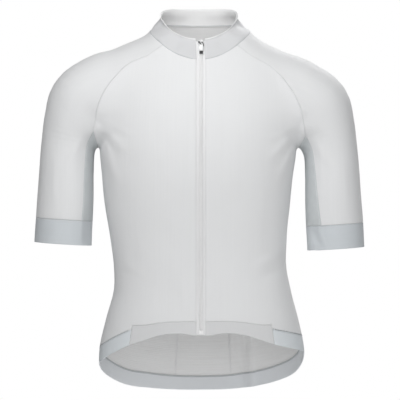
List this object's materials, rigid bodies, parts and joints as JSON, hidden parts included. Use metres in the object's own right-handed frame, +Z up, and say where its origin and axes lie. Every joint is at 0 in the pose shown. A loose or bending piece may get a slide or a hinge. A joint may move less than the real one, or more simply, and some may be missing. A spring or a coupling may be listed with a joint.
{
  "type": "cycling jersey",
  "caption": "Short-sleeved raglan cycling jersey with stand-up collar, full-length front zip, elastic cuffs, dropped gripper hem and rear pockets, worn-shaped and hollow.",
  "frame": {"origin": "middle of the wearer's neck at shoulder level, where the wearer holds the jersey up", "axes": "+Z up, +X to the wearer's left, -Y to the front"},
  "size_m": [0.5764, 0.24, 0.6826],
  "materials": {
    "knit": "white fine-gauge stretch knit with a faint sheen",
    "collar_knit": "white smooth knit, doubled",
    "mesh": "pale blue-grey ribbed mesh",
    "cuff_elastic": "pale blue-grey elastic knit",
    "grip_elastic": "pale blue-grey gripper elastic",
    "zip_tape": "white woven tape with moulded chain",
    "zip_metal": "pale satin lacquer",
    "zip_plastic": "white moulded plastic",
    "pull_white": "white moulded plastic",
    "pull_black": "dark moulded plastic"
  },
  "bodies": {
    "garment": {"front_left": "knit", "front_right": "knit", "back": "knit", "sleeve_left": "knit", "sleeve_right": "knit", "under_sleeve_left": "mesh", "under_sleeve_right": "mesh", "cuff_left": "cuff_elastic", "cuff_right": "cuff_elastic", "collar": "collar_knit", "front_hem_left": "knit", "front_hem_right": "knit", "hem_gripper": "grip_elastic", "pocket_panel": "knit", "pocket_binding": "cuff_elastic", "zip_tape_left": "zip_tape", "zip_tape_right": "zip_tape", "zip_slider": "zip_metal", "zip_box": "zip_plastic"},
    "pull": {"zip_pull": "pull_white", "zip_pull_tip": "pull_black"}
  },
  "joints": [
    {"name": "pull_swing", "type": "hinge", "parent": "garment", "child": "pull", "pos_m": [0.0015, -0.06573, -0.01206], "axis": [-1, 0, 0], "range_deg": [0, 165]}
  ]
}
